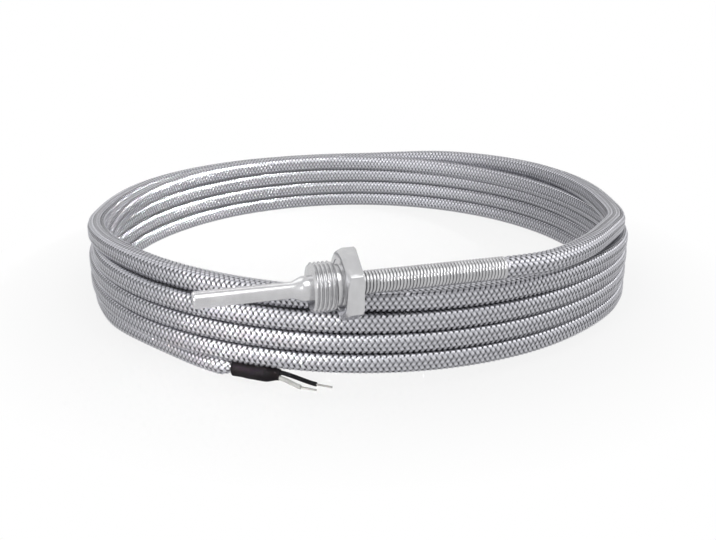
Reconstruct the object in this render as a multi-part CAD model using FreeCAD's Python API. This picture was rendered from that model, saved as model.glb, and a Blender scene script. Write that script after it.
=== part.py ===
"""Screw-in thermocouple probe with a spring-guarded, steel-braided cable wound into a coil.

Frame: the X axis is the axis of the probe, with the measuring tip at -X and the cable at +X. The origin
is on that axis at the inner end of the thread. Z is up, and the coil stands on the plane Z = FLOOR_Z.
All sizes are in millimetres.
"""
import FreeCAD, Part
import math
import os

Vector = FreeCAD.Vector
X_AXIS = Vector(1, 0, 0)
Z_AXIS = Vector(0, 0, 1)

# Screw fitting (M12 x 1)
THREAD_D = 12.0
THREAD_LENGTH = 5.6
THREAD_LEAD_IN = 0.6
UNDERCUT_D = 10.0
UNDERCUT_WIDTH = 1.4
RELIEF_DEPTH = 0.15         # the undercut goes this deep into the hexagon's face
RELIEF_ROOM = 0.2           # and reaches this much past the thread, so that a ring seats on the face
HEX_ACROSS_FLATS = 16.0
HEX_THICKNESS = 4.0
HEX_CHAMFER_DEG = 30.0
HEX_FACE_MARGIN = 0.35      # the flat faces' circle is this much inside the flats
REAR_BEVEL = 0.4

# Protection tube
TUBE_D = 6.0
TUBE_WALL = 0.45
TIP_D = 4.0
TIP_WALL = 0.4
TIP_LENGTH = 22.8
CONE_LENGTH = 2.4
SHANK_LENGTH = 1.8
TIP_END_WALL = 0.6
TIP_EDGE_BEVEL = 0.4
BRAZE_GAP = 0.03            # radial room for the braze between tube and fitting

# Spring against kinking
SPRING_WIRE_WIDTH = 1.0
SPRING_WIRE_THICKNESS = 0.55
SPRING_TURNS = 40
SPRING_SIDES = 12           # flats that make up the round of a winding
SPRING_SEAT_DEPTH = 2.0
SPRING_GROOVE = 0.32
SPRING_GAP = 0.1            # radial room round the cable and in the seat

# Inside of the probe
INSIDE_GAP = 0.05           # radial room of the pieces that slide into one another
LEG_D = 0.5
LEG_GAP = 0.1               # radial room of a leg in the insulator
JUNCTION_RIM = 0.05         # the bead reaches this much past the legs
JUNCTION_LENGTH = 1.2
JUNCTION_BEVEL = 0.4
INSULATOR_TIP_ROOM = 0.4    # between the bead and the insulator
INSULATOR_REAR_ROOM = 0.6   # between the insulator and the start of the cone
CORE_SLEEVE_D = 1.1
CORE_SLEEVE_APART = 0.2     # between the two core sleeves
CORE_SLEEVE_ROOM = 0.5      # between the insulator and the core sleeves
PLUG_TIP_ROOM = 1.8         # between the cone and the cement plug
FERRULE_WALL = 0.2
FERRULE_LENGTH = 3.0
CABLE_INSERT = 5.0          # how far the cable reaches into the tube

# Cable
CABLE_D = 5.8
CABLE_SIDES = 10            # flats that make up the round of the free cable
COIL_RADIUS = 83.0
COIL_CENTRE_X = 31.3
COIL_CENTRE_Y = 87.9
FLOOR_Z = -32.0
COIL_LEVELS = 5
LEVEL_HEIGHT = 5.3          # the turns above the lowest are pressed together
COIL_CHAMFER = 1.58
TOP_LEVEL_DEG = (112.0, 382.0)      # the uppermost turn, seen from above, 0 at -Y and counter-clockwise
BOTTOM_LEVEL_DEG = (24.0, 280.0)    # the lowest turn
# The uppermost turn slips off at the back and lies outside the one below it. For each stretch: where it
# ends, how far out it lies in cable diameters, and the height of its underside in levels
TOP_STRETCHES = ((142.0, 0.0, 4.0), (152.0, 0.5, 3.55), (225.0, 0.98, 2.9), (262.0, 0.45, 3.1),
                 (276.0, 0.1, 3.6), (335.0, -0.4, 4.0), (TOP_LEVEL_DEG[1], 0.0, 4.0))

# End of the cable
NECK_LENGTH = 3.8
NECK_D = 3.4
SLEEVE_LENGTH = 12.0
SLEEVE_TAPER_LENGTH = 5.0
SLEEVE_WALL = 0.3
LEAD_D = 1.2
LEAD_SIDES = 8
LEAD_BENDS = (0.3, 0.71)     # places of the two bends along a lead's run
LEAD_APART = 0.18           # between the two leads in the sleeve's mouth
LEAD_TILT_DEG = 64.0        # one lead leaves the sleeve above the other, at this slant
SLEEVE_RIM = 0.16           # the sleeve's mouth reaches this much past the leads
LEAD_WIRE_D = 0.5
LEAD_WIRE_LENGTH = 4.4

# Places along the probe's axis that follow from the sizes above
X_THREAD_TIP = -THREAD_LENGTH
X_HEX_FRONT = UNDERCUT_WIDTH
X_HEX_REAR = X_HEX_FRONT + HEX_THICKNESS
X_SEAT = X_HEX_REAR - SPRING_SEAT_DEPTH
X_SHANK_TIP = X_THREAD_TIP - SHANK_LENGTH
X_CONE_TIP = X_SHANK_TIP - CONE_LENGTH
X_TIP = X_CONE_TIP - TIP_LENGTH
X_TIP_INSIDE = X_TIP + TIP_END_WALL
X_SPRING_END = X_SEAT + SPRING_TURNS * SPRING_WIRE_WIDTH
X_CABLE_START = X_SEAT - CABLE_INSERT
LEG_SPACING = CORE_SLEEVE_D + CORE_SLEEVE_APART
JUNCTION_D = LEG_SPACING + LEG_D + 2 * JUNCTION_RIM
X_JUNCTION_REAR = X_TIP_INSIDE + JUNCTION_LENGTH
X_INSULATOR_TIP = X_JUNCTION_REAR + INSULATOR_TIP_ROOM
X_INSULATOR_REAR = X_CONE_TIP - INSULATOR_REAR_ROOM
TUBE_BORE_D = TUBE_D - 2 * TUBE_WALL
TIP_BORE_D = TIP_D - 2 * TIP_WALL
FERRULE_D = TUBE_BORE_D - 2 * INSIDE_GAP
CABLE_END_D = FERRULE_D - 2 * FERRULE_WALL - 2 * INSIDE_GAP     # the braid is drawn in under the spring
SPRING_BORE_D = CABLE_END_D + 2 * SPRING_GAP
SPRING_D = SPRING_BORE_D + 2 * SPRING_WIRE_THICKNESS
LEAD_OFFSET = (LEAD_D + LEAD_APART) / 2
SLEEVE_MOUTH_D = 2 * (LEAD_OFFSET + LEAD_D / 2 + SLEEVE_RIM)


def revolved(points):
    """Turn a closed outline of (x, radius) points about the probe's axis."""
    wire = Part.makePolygon([Vector(x, r, 0) for x, r in points + points[:1]])
    return Part.Face(wire).revolve(Vector(), X_AXIS, 360)


def rod(x_start, x_end, diameter, y=0.0):
    """A cylinder along X."""
    return Part.makeCylinder(diameter / 2, x_end - x_start, Vector(x_start, y, 0), X_AXIS)


def ring(x_start, x_end, outer_d, inner_d, y=0.0):
    """A hollow cylinder along X."""
    return rod(x_start, x_end, outer_d, y).cut(rod(x_start, x_end, inner_d, y))


def flat_sided(centre, way, diameter, sides):
    """Corners of a regular polygon round a point, square to a way that isn't upright, with a flat below."""
    across = Z_AXIS.cross(way).normalize()
    up = way.cross(across)
    corners = []
    for k in range(sides):
        a = 2 * math.pi * (k + 0.5) / sides
        corners.append(centre + (up * math.cos(a) + across * math.sin(a)) * (diameter / 2))
    return corners


def flat_face(corners):
    """A flat face inside a ring of corners."""
    return Part.Face(Part.makePolygon(corners + corners[:1]))


def flat_walled(rings):
    """A solid with flat walls between rings of corners and flat ends."""
    faces = [flat_face(rings[0]), flat_face(rings[-1])]
    for near, far in zip(rings, rings[1:]):
        for k in range(len(near)):
            after = (k + 1) % len(near)
            faces.append(flat_face([near[k], near[after], far[after], far[k]]))
    solid = Part.Solid(Part.Shell(faces))
    if solid.Volume < 0:
        solid.reverse()
    return solid


def protection_tube():
    """A closed tube that steps down to its measuring tip through a cone."""
    shank_r, tip_r = TUBE_D / 2, TIP_D / 2
    outside = revolved([(X_SEAT, 0), (X_SEAT, shank_r), (X_SHANK_TIP, shank_r), (X_CONE_TIP, tip_r),
                        (X_TIP + TIP_EDGE_BEVEL, tip_r), (X_TIP, tip_r - TIP_EDGE_BEVEL), (X_TIP, 0)])
    inside = revolved([(X_SEAT, 0), (X_SEAT, TUBE_BORE_D / 2), (X_SHANK_TIP, TUBE_BORE_D / 2),
                       (X_CONE_TIP, TIP_BORE_D / 2), (X_TIP_INSIDE, TIP_BORE_D / 2), (X_TIP_INSIDE, 0)])
    return outside.cut(inside)


def hexagon():
    """The hexagon with its corners up and down, bevelled on both faces as a turned hexagon is."""
    corner_r = HEX_ACROSS_FLATS / math.sqrt(3)
    corners = [Vector(X_HEX_FRONT, corner_r * math.sin(math.radians(60 * k)),
                      corner_r * math.cos(math.radians(60 * k))) for k in range(7)]
    prism = Part.Face(Part.makePolygon(corners)).extrude(X_AXIS * HEX_THICKNESS)
    face_r = HEX_ACROSS_FLATS / 2 - HEX_FACE_MARGIN
    front_depth = (corner_r - face_r) * math.tan(math.radians(HEX_CHAMFER_DEG))
    bevels = revolved([(X_HEX_FRONT, 0), (X_HEX_FRONT, face_r), (X_HEX_FRONT + front_depth, corner_r),
                       (X_HEX_REAR - REAR_BEVEL, corner_r), (X_HEX_REAR, corner_r - REAR_BEVEL),
                       (X_HEX_REAR, 0)])
    return prism.common(bevels)


def screw_fitting():
    """Thread core with a lead-in, undercut and hexagon, bored for the tube and for the spring's seat."""
    thread_r, neck_r = THREAD_D / 2, UNDERCUT_D / 2
    stem = revolved([(X_THREAD_TIP, 0), (X_THREAD_TIP, thread_r - THREAD_LEAD_IN),
                     (X_THREAD_TIP + THREAD_LEAD_IN, thread_r), (0, thread_r), (0, neck_r),
                     (X_HEX_FRONT, neck_r), (X_HEX_FRONT, 0)])
    relief = ring(X_HEX_FRONT, X_HEX_FRONT + RELIEF_DEPTH, THREAD_D + 2 * RELIEF_ROOM, UNDERCUT_D)
    tube_bore = rod(X_THREAD_TIP, X_SEAT, TUBE_D + 2 * BRAZE_GAP)
    spring_seat = rod(X_SEAT, X_HEX_REAR, SPRING_D + 2 * SPRING_GAP)
    return stem.fuse(hexagon()).removeSplitter().cut(relief).cut(tube_bore).cut(spring_seat)


def kink_spring():
    """Close-wound spring: each winding is a ridge between two grooves."""
    root_d = SPRING_D - 2 * SPRING_GROOVE
    rims = [(X_SEAT, root_d)]
    for turn in range(SPRING_TURNS):
        x = X_SEAT + turn * SPRING_WIRE_WIDTH
        rims += [(x + SPRING_WIRE_WIDTH / 2, SPRING_D), (x + SPRING_WIRE_WIDTH, root_d)]
    windings = flat_walled([flat_sided(Vector(x, 0, 0), X_AXIS, rim_d, SPRING_SIDES) for x, rim_d in rims])
    return windings.cut(rod(X_SEAT, X_SPRING_END, SPRING_BORE_D))


def junction():
    """The welded bead, which rests against the inside of the tip."""
    radius = JUNCTION_D / 2
    return revolved([(X_TIP_INSIDE, 0), (X_TIP_INSIDE, radius - JUNCTION_BEVEL),
                     (X_TIP_INSIDE + JUNCTION_BEVEL, radius), (X_JUNCTION_REAR, radius), (X_JUNCTION_REAR, 0)])


def leg(side):
    """One thermocouple wire, from the bead to the end of the cable."""
    return rod(X_JUNCTION_REAR, X_CABLE_START, LEG_D, side * LEG_SPACING / 2)


def twin_bored(x_start, x_end, diameter, bore_d):
    """A rod with a bore for each leg."""
    body = rod(x_start, x_end, diameter)
    for side in (1, -1):
        body = body.cut(rod(x_start, x_end, bore_d, side * LEG_SPACING / 2))
    return body


def core_sleeve(side):
    """Core insulation between the ceramic insulator and the cable's end."""
    return ring(X_INSULATOR_REAR + CORE_SLEEVE_ROOM, X_CABLE_START, CORE_SLEEVE_D,
                LEG_D + 2 * INSIDE_GAP, side * LEG_SPACING / 2)


def on_coil(angle_deg, height, radius=COIL_RADIUS):
    """A point over the floor at an angle round the coil, 0 at -Y and counter-clockwise from above."""
    a = math.radians(angle_deg)
    return Vector(COIL_CENTRE_X + radius * math.sin(a), COIL_CENTRE_Y - radius * math.cos(a), FLOOR_Z + height)


def level_height(level):
    """Height over the floor of the underside of a level, counted from 0."""
    return level * CABLE_D if level < 1 else CABLE_D + (level - 1) * LEVEL_HEIGHT


def coil_stretch(first, last, span_deg, bevel_top, bevel_bottom, out=0.0):
    """A ring or part of a ring from the underside of one level to that of another, moved out by diameters."""
    middle = COIL_RADIUS + out * CABLE_D
    inner, outer = middle - CABLE_D / 2, middle + CABLE_D / 2
    low, high = level_height(first), level_height(last)
    top = COIL_CHAMFER if bevel_top else 0
    bottom = COIL_CHAMFER if bevel_bottom else 0
    outline = [(inner + bottom, low), (outer - bottom, low), (outer, low + bottom), (outer, high - top),
               (outer - top, high), (inner + top, high), (inner, high - top), (inner, low + bottom)]
    points = []
    for radius, height in outline:
        point = on_coil(span_deg[0], height, radius)
        if not points or (point - points[-1]).Length > 1e-6:
            points.append(point)
    if (points[0] - points[-1]).Length < 1e-6:
        points.pop()
    face = Part.Face(Part.makePolygon(points + points[:1]))
    return face.revolve(Vector(COIL_CENTRE_X, COIL_CENTRE_Y, 0), Z_AXIS, span_deg[1] - span_deg[0])


def cable_coil():
    """The outer shape of the coil: whole turns in the middle, part turns above and below."""
    middle = coil_stretch(1, COIL_LEVELS - 1, (0, 360), False, False)
    pieces = [coil_stretch(0, 1, BOTTOM_LEVEL_DEG, False, True)]
    start_deg = TOP_LEVEL_DEG[0]
    for end_deg, out, low in TOP_STRETCHES:
        pieces.append(coil_stretch(low, low + 1, (start_deg, end_deg), True, False, out))
        start_deg = end_deg
    return middle.fuse(pieces).removeSplitter()


def tangent(angle_deg):
    """The way the turns run at an angle round the coil."""
    a = math.radians(angle_deg)
    return Vector(math.cos(a), math.sin(a), 0)


def cable_tube(name, route, diameter, sides):
    """A tube on straight runs joined by tangent arcs, each as large as its two runs allow."""
    edges, start, length = [], route[0], 0.0
    for before, corner, after in zip(route, route[1:], route[2:]):
        to_before, to_after = before - corner, after - corner
        turn = math.pi - to_before.getAngle(to_after)
        reach = 0.45 * min(to_before.Length, to_after.Length)
        radius = reach / math.tan(turn / 2)
        arc_start = corner + to_before.normalize() * reach
        arc_end = corner + to_after.normalize() * reach
        inward = (to_before + to_after).normalize()
        middle = corner + inward * (radius / math.cos(turn / 2) - radius)
        edges += [Part.LineSegment(start, arc_start).toShape(), Part.Arc(arc_start, middle, arc_end).toShape()]
        length += (arc_start - start).Length + radius * turn
        start = arc_end
        print(f"{name}: turn {math.degrees(turn):.1f} deg, radius {radius:.1f} mm")
    edges.append(Part.LineSegment(start, route[-1]).toShape())
    length += (route[-1] - start).Length
    section = flat_face(flat_sided(route[0], (route[1] - route[0]).normalize(), diameter, sides))
    tube = Part.Wire(edges).makePipeShell([section.OuterWire], True, False)
    print(f"{name}: length {length:.1f} mm, volume over section times length "
          f"{tube.Volume / (section.Area * length):.5f}")
    return tube


def lead_route():
    """From the spring, level at first, down onto the coil at the right, to the face of the top turn."""
    join = on_coil(TOP_LEVEL_DEG[0], level_height(COIL_LEVELS - 1) + CABLE_D / 2)
    return [Vector(X_SPRING_END, 0, 0),
            Vector(59.5, 0.0, 0.0),
            Vector(80.0, 10.0, -2.6),
            Vector(97.2, 33.2, -5.0),
            Vector(109.6, 56.2, -6.3),
            Vector(115.0, 79.5, -7.2),
            join - tangent(TOP_LEVEL_DEG[0]) * 18.0,
            join]


def tail_route():
    """From the face of the lowest turn round under the coil to where the braid is drawn in."""
    leave = on_coil(BOTTOM_LEVEL_DEG[1], CABLE_D / 2)
    middle_z = FLOOR_Z + CABLE_D / 2
    return [leave,
            leave + tangent(BOTTOM_LEVEL_DEG[1]) * 12.0,
            Vector(-41.0, 45.3, middle_z),
            Vector(-31.05, 31.75, middle_z),
            Vector(-23.8, 26.09, middle_z)]


def tail_direction():
    """The way the cable points at its far end."""
    route = tail_route()
    return (route[-1] - route[-2]).normalize()


def along_tail(outline):
    """Turn an outline of (distance, radius) points about the line of the cable's far end."""
    end, way = tail_route()[-1], tail_direction()
    points = [end + way * s + Z_AXIS * r for s, r in outline]
    return Part.Face(Part.makePolygon(points + points[:1])).revolve(end, way, 360)


def cable_tail():
    """The tail of the cable, with the braid drawn in and the inner sheath running on into the sleeve."""
    inscribed_r = CABLE_D / 2 * math.cos(math.pi / CABLE_SIDES)
    neck = along_tail([(0, 0), (0, inscribed_r), (NECK_LENGTH, NECK_D / 2),
                       (NECK_LENGTH + SLEEVE_LENGTH - SLEEVE_TAPER_LENGTH, NECK_D / 2),
                       (NECK_LENGTH + SLEEVE_LENGTH - SLEEVE_TAPER_LENGTH, 0)])
    return cable_tube("cable_tail", tail_route(), CABLE_D, CABLE_SIDES).fuse(neck).removeSplitter()


def heat_shrink_sleeve():
    """Shrunk over the inner sheath, and down onto the two cores."""
    start, end = NECK_LENGTH, NECK_LENGTH + SLEEVE_LENGTH
    shoulder = end - SLEEVE_TAPER_LENGTH
    bore, mouth = NECK_D / 2, SLEEVE_MOUTH_D / 2
    body = along_tail([(start, bore), (start, bore + SLEEVE_WALL), (shoulder, bore + SLEEVE_WALL),
                       (end, mouth), (end, 0), (shoulder, 0), (shoulder, bore)])
    return body


def lead_frame():
    """The centre of the sleeve's mouth, and the ways along it, up and to its left."""
    way = tail_direction()
    mouth = tail_route()[-1] + way * (NECK_LENGTH + SLEEVE_LENGTH)
    return mouth, way, Z_AXIS.cross(way)


def lead_points(above, run, aside):
    """A core's route: straight out of the sleeve, down to the floor, and level along it."""
    mouth, way, left = lead_frame()
    tilt = math.radians(LEAD_TILT_DEG)
    start = mouth + (Z_AXIS * math.sin(tilt) + left * math.cos(tilt)) * (above * LEAD_OFFSET)
    touch_down = start + way * (LEAD_BENDS[1] * run) + left * aside
    end = start + way * run + left * aside
    touch_down.z = end.z = FLOOR_Z + LEAD_D / 2
    return [start, start + way * (LEAD_BENDS[0] * run), touch_down, end]


BLACK_LEAD = dict(above=1, run=10.5, aside=2.3)
WHITE_LEAD = dict(above=-1, run=7.4, aside=0.0)


def lead_insulation(name, place):
    """Insulation of one core outside the sleeve."""
    return cable_tube(name, lead_points(**place), LEAD_D, LEAD_SIDES)


def lead_wire(place):
    """Bare end of one core, straight on from its insulation."""
    before, end = lead_points(**place)[-2:]
    return Part.makeCylinder(LEAD_WIRE_D / 2, LEAD_WIRE_LENGTH, end, end - before)


PIECES = {
    "protection_tube": protection_tube,
    "screw_fitting": screw_fitting,
    "kink_spring": kink_spring,
    "measuring_junction": junction,
    "positive_leg": lambda: leg(1),
    "negative_leg": lambda: leg(-1),
    "ceramic_insulator": lambda: twin_bored(X_INSULATOR_TIP, X_INSULATOR_REAR, TIP_BORE_D - 2 * INSIDE_GAP,
                                            LEG_D + 2 * LEG_GAP),
    "potting_plug": lambda: twin_bored(X_SHANK_TIP + PLUG_TIP_ROOM, X_CABLE_START, TUBE_BORE_D - 2 * INSIDE_GAP,
                                       CORE_SLEEVE_D + 2 * INSIDE_GAP),
    "positive_core_sleeve": lambda: core_sleeve(1),
    "negative_core_sleeve": lambda: core_sleeve(-1),
    "crimp_ferrule": lambda: ring(X_CABLE_START, X_CABLE_START + FERRULE_LENGTH, FERRULE_D,
                                  FERRULE_D - 2 * FERRULE_WALL),
    "cable_end": lambda: rod(X_CABLE_START, X_SPRING_END, CABLE_END_D),
    "cable_lead": lambda: cable_tube("cable_lead", lead_route(), CABLE_D, CABLE_SIDES),
    "cable_coil": cable_coil,
    "cable_tail": cable_tail,
    "heat_shrink_sleeve": heat_shrink_sleeve,
    "black_lead": lambda: lead_insulation("black_lead", BLACK_LEAD),
    "white_lead": lambda: lead_insulation("white_lead", WHITE_LEAD),
    "black_lead_wire": lambda: lead_wire(BLACK_LEAD),
    "white_lead_wire": lambda: lead_wire(WHITE_LEAD),
}

os.makedirs("parts", exist_ok=True)
for piece_name, build in PIECES.items():
    build().exportStep(f"parts/{piece_name}.step")
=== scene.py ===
"""Looks of a screw-in thermocouple probe: turned steel, a wound spring and a coil of steel-braided cable.

Frame and places are those of the solids: X is the probe's axis with the measuring tip at -X, Z is up, and
the coil stands on the floor 32 mm below the axis. Everything is in metres.
"""
import math

import bmesh
import bpy
import numpy as np
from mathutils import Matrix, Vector


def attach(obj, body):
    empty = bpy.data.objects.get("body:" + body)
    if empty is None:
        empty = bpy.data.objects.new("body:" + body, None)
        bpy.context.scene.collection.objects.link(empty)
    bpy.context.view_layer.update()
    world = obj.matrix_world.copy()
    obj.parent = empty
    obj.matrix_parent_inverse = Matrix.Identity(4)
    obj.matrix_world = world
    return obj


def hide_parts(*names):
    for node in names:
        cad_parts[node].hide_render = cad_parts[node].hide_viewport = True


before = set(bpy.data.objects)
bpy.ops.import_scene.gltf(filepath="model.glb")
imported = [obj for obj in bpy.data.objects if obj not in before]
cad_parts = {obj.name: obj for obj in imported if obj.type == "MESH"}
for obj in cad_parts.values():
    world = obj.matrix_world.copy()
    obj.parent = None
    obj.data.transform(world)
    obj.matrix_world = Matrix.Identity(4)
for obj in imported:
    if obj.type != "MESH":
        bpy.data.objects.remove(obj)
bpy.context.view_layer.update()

MM = 0.001
FULL_TURN = 2 * math.pi
UP = Vector((0, 0, 1))
BODY = "root"
FLOOR_Z = -32.0 * MM

# Meshes: points closer than the first are joined, and edges steeper than the second are sharp
MERGE = 0.001 * MM
SHARP_DEG = 35.0
LATHE_COLUMNS = 96
SPLINE_STEPS = 12           # between two points of a cord or a wire
BAR_ROUNDNESS = 3

# Camera, fitted to the photograph's 716 x 540 frame
LENS_MM = 47.1
SENSOR_MM = 36.0
CAMERA_SHIFT_X = 0.0018
CAMERA_CLIP_START = 0.01
CAMERA_TARGET = Vector((31.3, 87.9, -30.72)) * MM
CAMERA_DISTANCE = 316.3 * MM
CAMERA_AZIMUTH_DEG = -16.2
CAMERA_ELEVATION_DEG = 20.4

# Tube, along X
X_TIP = -32.6 * MM
X_CONE_TIP = -9.8 * MM
X_SHANK_TIP = -7.4 * MM
X_SEAT = 3.4 * MM           # where the tube ends and the spring begins, inside the fitting
TIP_R = 2.0 * MM
TUBE_R = 3.0 * MM
TUBE_WALL = 0.4 * MM
TIP_ROUNDING = 0.55 * MM
STEP_ROUNDING = 0.5 * MM
ROUNDING_LIMIT = 0.45       # the largest part of a side that a rounding takes
ROUNDING_STEPS = 6

# Fitting
X_THREAD_TIP = -5.6 * MM
X_HEX_FRONT = 1.4 * MM
X_HEX_REAR = 5.4 * MM
BORE_R = 3.03 * MM
FACE_OVERLAP = 0.2 * MM     # how far the end faces reach in below the tube's surface
THREAD_R = 6.0 * MM
THREAD_PITCH = 1.0 * MM
THREAD_DEPTH = 0.6 * MM
THREAD_ROOT = 0.1           # the flat root and the two flanks, as parts of a pitch; the rest is the crest
THREAD_FLANKS = 0.76
THREAD_END_BEVEL = 0.5 * MM
THREAD_FACE_DROP = 0.05 * MM
NECK_R = 5.0 * MM
NECK_FILLET = 0.1 * MM
RELIEF_R = 6.2 * MM
RELIEF_DEPTH = 0.15 * MM
HEX_APOTHEM = 8.0 * MM
HEX_FACE_R = 7.65 * MM
HEX_CORNER_R = HEX_APOTHEM / math.cos(math.pi / 6)
HEX_CORNER_BREAK = 0.06 * MM
HEX_REAR_BEVEL = 0.4 * MM
SEAT_R = 3.0 * MM
SEAT_BEVEL = 0.15 * MM
# The hexagon's edges are just broken: how far from the edge each break begins
FRONT_EDGE_INSIDE = 0.05 * MM
FRONT_EDGE_OUTSIDE = 0.03 * MM
BEVEL_EDGE_DROP = 0.02 * MM
BEVEL_EDGE_RUN = 0.06 * MM
REAR_EDGE_RUN = 0.08 * MM
REAR_EDGE_DROP = 0.02 * MM
REAR_FACE_DROP = 0.1 * MM
FITTING_COLUMNS = 144
ROWS_PER_PITCH = 16
ROWS_AHEAD = 2              # points of the front face, ahead of the thread's rows
THREAD_ROWS = int(ROWS_PER_PITCH * (-X_THREAD_TIP / THREAD_PITCH + 2)) + 1
FITTING_MERGE = 0.002 * MM
FITTING_SHARP_DEG = 28.0

# Spring
X_SPRING_END = 43.4 * MM
SPRING_R = 2.9 * MM
SPRING_THICKNESS = 0.55 * MM
SPRING_TURNS = 48
SPRING_STEPS = 40
SPRING_SHARP_DEG = 60.0
SPRING_HALF_WIDTH = 0.465   # of the wire, as a part of the pitch
SPRING_TUCK = 0.05 * MM     # how far the spring's last turn goes in under the one before it
# The wire's section, along the axis and outwards, in half widths and half thicknesses
SPRING_SECTION = [(-1.0, -0.9), (-1.0, 0.0), (-0.75, 0.7), (-0.3, 1.0), (0.3, 1.0), (0.75, 0.7), (1.0, 0.0),
                  (1.0, -0.9)]

# Cable
CABLE_D = 5.8 * MM
CORE_R = 0.455 * CABLE_D
CORE_START = 0.8            # the core's thickness under the spring and in the sleeve, as a part of the rest
CORE_END = 0.55
COIL_CENTRE = Vector((31.55, 87.7, 0.0)) * MM
COIL_RADIUS = 83.4 * MM
COIL_START_DEG = 112.0
COIL_END_DEG = 280.0
COIL_TURNS = 4
COIL_STEPS = 160
LEVEL_HEIGHT = 5.3 * MM     # the turns are pressed together,
LEVEL_TILT = 0.2 * MM       # less at the front left than at the back right
LOOSEST_DEG = 310.0
LOWEST = 2.75 * MM          # height of the lowest turn's middle
ON_LOWEST = 0.05            # below this level, in turns, the cable lies on the floor and can't sag
STEP_DEG = 383.0            # where a turn starts to sink to the level below, 0 at -Y
SINK_TURN = 0.19            # part of a turn in which it sinks
SAG = 0.7 * MM              # how much lower the turns lie at the front, where they start to sink
SAG_TURN = 0.17             # part of a turn before that in which they come down
# The first turn slips off at the back and lies beside the second, then climbs over it at the left: angle,
# way outwards and height of the cable's middle, in millimetres
FIRST_TURN = [(112, 0.5, 22.9), (125, 1.0, 22.3), (135, 1.8, 21.5), (142, 2.6, 20.8), (150, 4.0, 19.3),
              (160, 5.4, 17.6), (180, 5.4, 17.4), (200, 5.2, 18.0), (220, 4.5, 18.7), (235, 2.7, 19.2),
              (250, 0.8, 19.4), (256, 0.3, 20.1), (262, 0.0, 21.3), (268, -0.2, 22.2), (274, -0.6, 22.9),
              (280, -1.1, 23.5), (286, -1.5, 24.0), (292, -1.7, 24.5), (304, -1.7, 24.8), (318, -1.7, 24.9),
              (332, -1.3, 24.6), (346, -0.7, 24.4), (360, 0.0, 24.2), (378, 0.0, 23.8)]
# The second gives way to it, and the last comes in before it ends: angle and way inwards, in millimetres
GIVING_WAY = [(412, 0.0), (432, 0.5), (445, 1.5), (460, 2.6), (472, 2.8), (486, 2.5), (500, 2.0), (515, 1.0),
              (535, 0.0), (570, 0.0), (580, 0.7), (595, 2.0), (610, 3.2), (622, 2.7), (630, 1.6), (642, 0.0),
              (1670, 0.0), (1700, 0.4), (1720, 1.2)]
# Points ahead of the coil, from inside the spring, and points after it, in millimetres
LEAD_ROUTE = [(41.4, 0.0, 0.0), (48.0, 0.0, 0.0), (57.0, 1.0, 0.0), (72.5, 10.3, -0.6), (88.9, 26.8, -2.0),
              (101.7, 44.3, -6.3), (109.6, 62.3, -8.5), (113.4, 80.5, -8.3), (113.8, 96.8, -8.5),
              (112.1, 109.0, -8.9)]
TAIL_ROUTE = [(-46.8, 62.2, -29.2), (-38.2, 47.1, -29.2), (-29.5, 32.9, -29.0), (-23.65, 24.69, -28.6)]
TAIL_END = Vector(TAIL_ROUTE[-1]) * MM
TAIL_WAY = Vector((0.788239, -0.61537, 0.0))
TAIL_LEFT = UP.cross(TAIL_WAY)

# The cable's end: a neck, the sleeve and the two cores with their bare wires
NECK_LENGTH = 3.8 * MM
NECK_D = 3.4 * MM
NECK_THINNING = 0.1 * MM    # the braid's end is thinner than the neck by this much
SLEEVE_LENGTH = 13.0 * MM
SLEEVE_TAPER = 4.0 * MM
SLEEVE_R = 2.45 * MM
SLEEVE_WALL = 0.16 * MM     # round the cores in its mouth
SLEEVE_GAP = 0.02 * MM      # round the cable's neck
SLEEVE_RIM_DROP = 0.08 * MM
SLEEVE_RIM_RUN = 0.1 * MM
SLEEVE_MOUTH_DEPTH = 0.05 * MM
SLEEVE_COLUMNS = 48
SLEEVE_ROWS = 40
SLEEVE_SHARP_DEG = 50.0
# Its wrinkles: size as a part of the radius, waves round it, and run along it in radians for each metre
SLEEVE_WRINKLES = [(0.012, 3, 900), (0.01, 5, -1700)]
LEAD_D = 1.2 * MM
LEAD_OFFSET = 0.69 * MM     # from the mouth's middle to a core's middle
LEAD_TILT = math.radians(64)
LEAD_LIFT = UP * math.sin(LEAD_TILT) + TAIL_LEFT * math.cos(LEAD_TILT)      # from the lower core to the upper
LEAD_INSIDE = 1.5 * MM
LEAD_BENDS = (0.12, 0.86)   # where a core turns down and where it turns level, as parts of its run
BLACK_LEAD = dict(above=1, run=8.5 * MM, aside=3.3 * MM)
WHITE_LEAD = dict(above=-1, run=5.4 * MM, aside=1.0 * MM)
WIRE_D = 0.5 * MM
WIRE_LENGTH = 4.4 * MM
WIRE_TUCK = 0.5 * MM

# Braid: two sets of flat strands that cross over and under each other
BRAID_R = 2.9 * MM
BRAID_LAY = 11.6 * MM
STRANDS_EACH_WAY = 8
BRAID_WAVE = BRAID_LAY / STRANDS_EACH_WAY
STRAND_WIDTH = 0.8 * MM
STRAND_WAVE = 0.19 * MM
STRAND_CROWN = 0.1 * MM
STRAND_ACROSS = np.array([-1.0, 0.0, 1.0])      # a strand's points, in half widths from its middle
STEPS_PER_WAVE = 4
BRAID_PIECES = 5
CREST_POWER = 1.5           # above 1, the bright crests are smaller than the dips with their painted shade
# Where the braid comes out of the spring: way along the cable and radius
BRAID_START = [(0.0, 2.2 * MM), (1.8 * MM, 2.25 * MM), (2.8 * MM, BRAID_R)]
PRESS_POWER = 3.5           # the turns of the coil press each other into a squarer section
PRESS_HALF = 2.72 * MM      # half its height
PRESS_LEAD = (25 * MM, 75 * MM)     # from the cable's start, where it comes on
PRESS_TAIL = (70 * MM, 32 * MM)     # before the cable's end, where it goes off
UV_ROWS_PER_STRAND = 6
UV_ROW_MARGIN = 0.12

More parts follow.
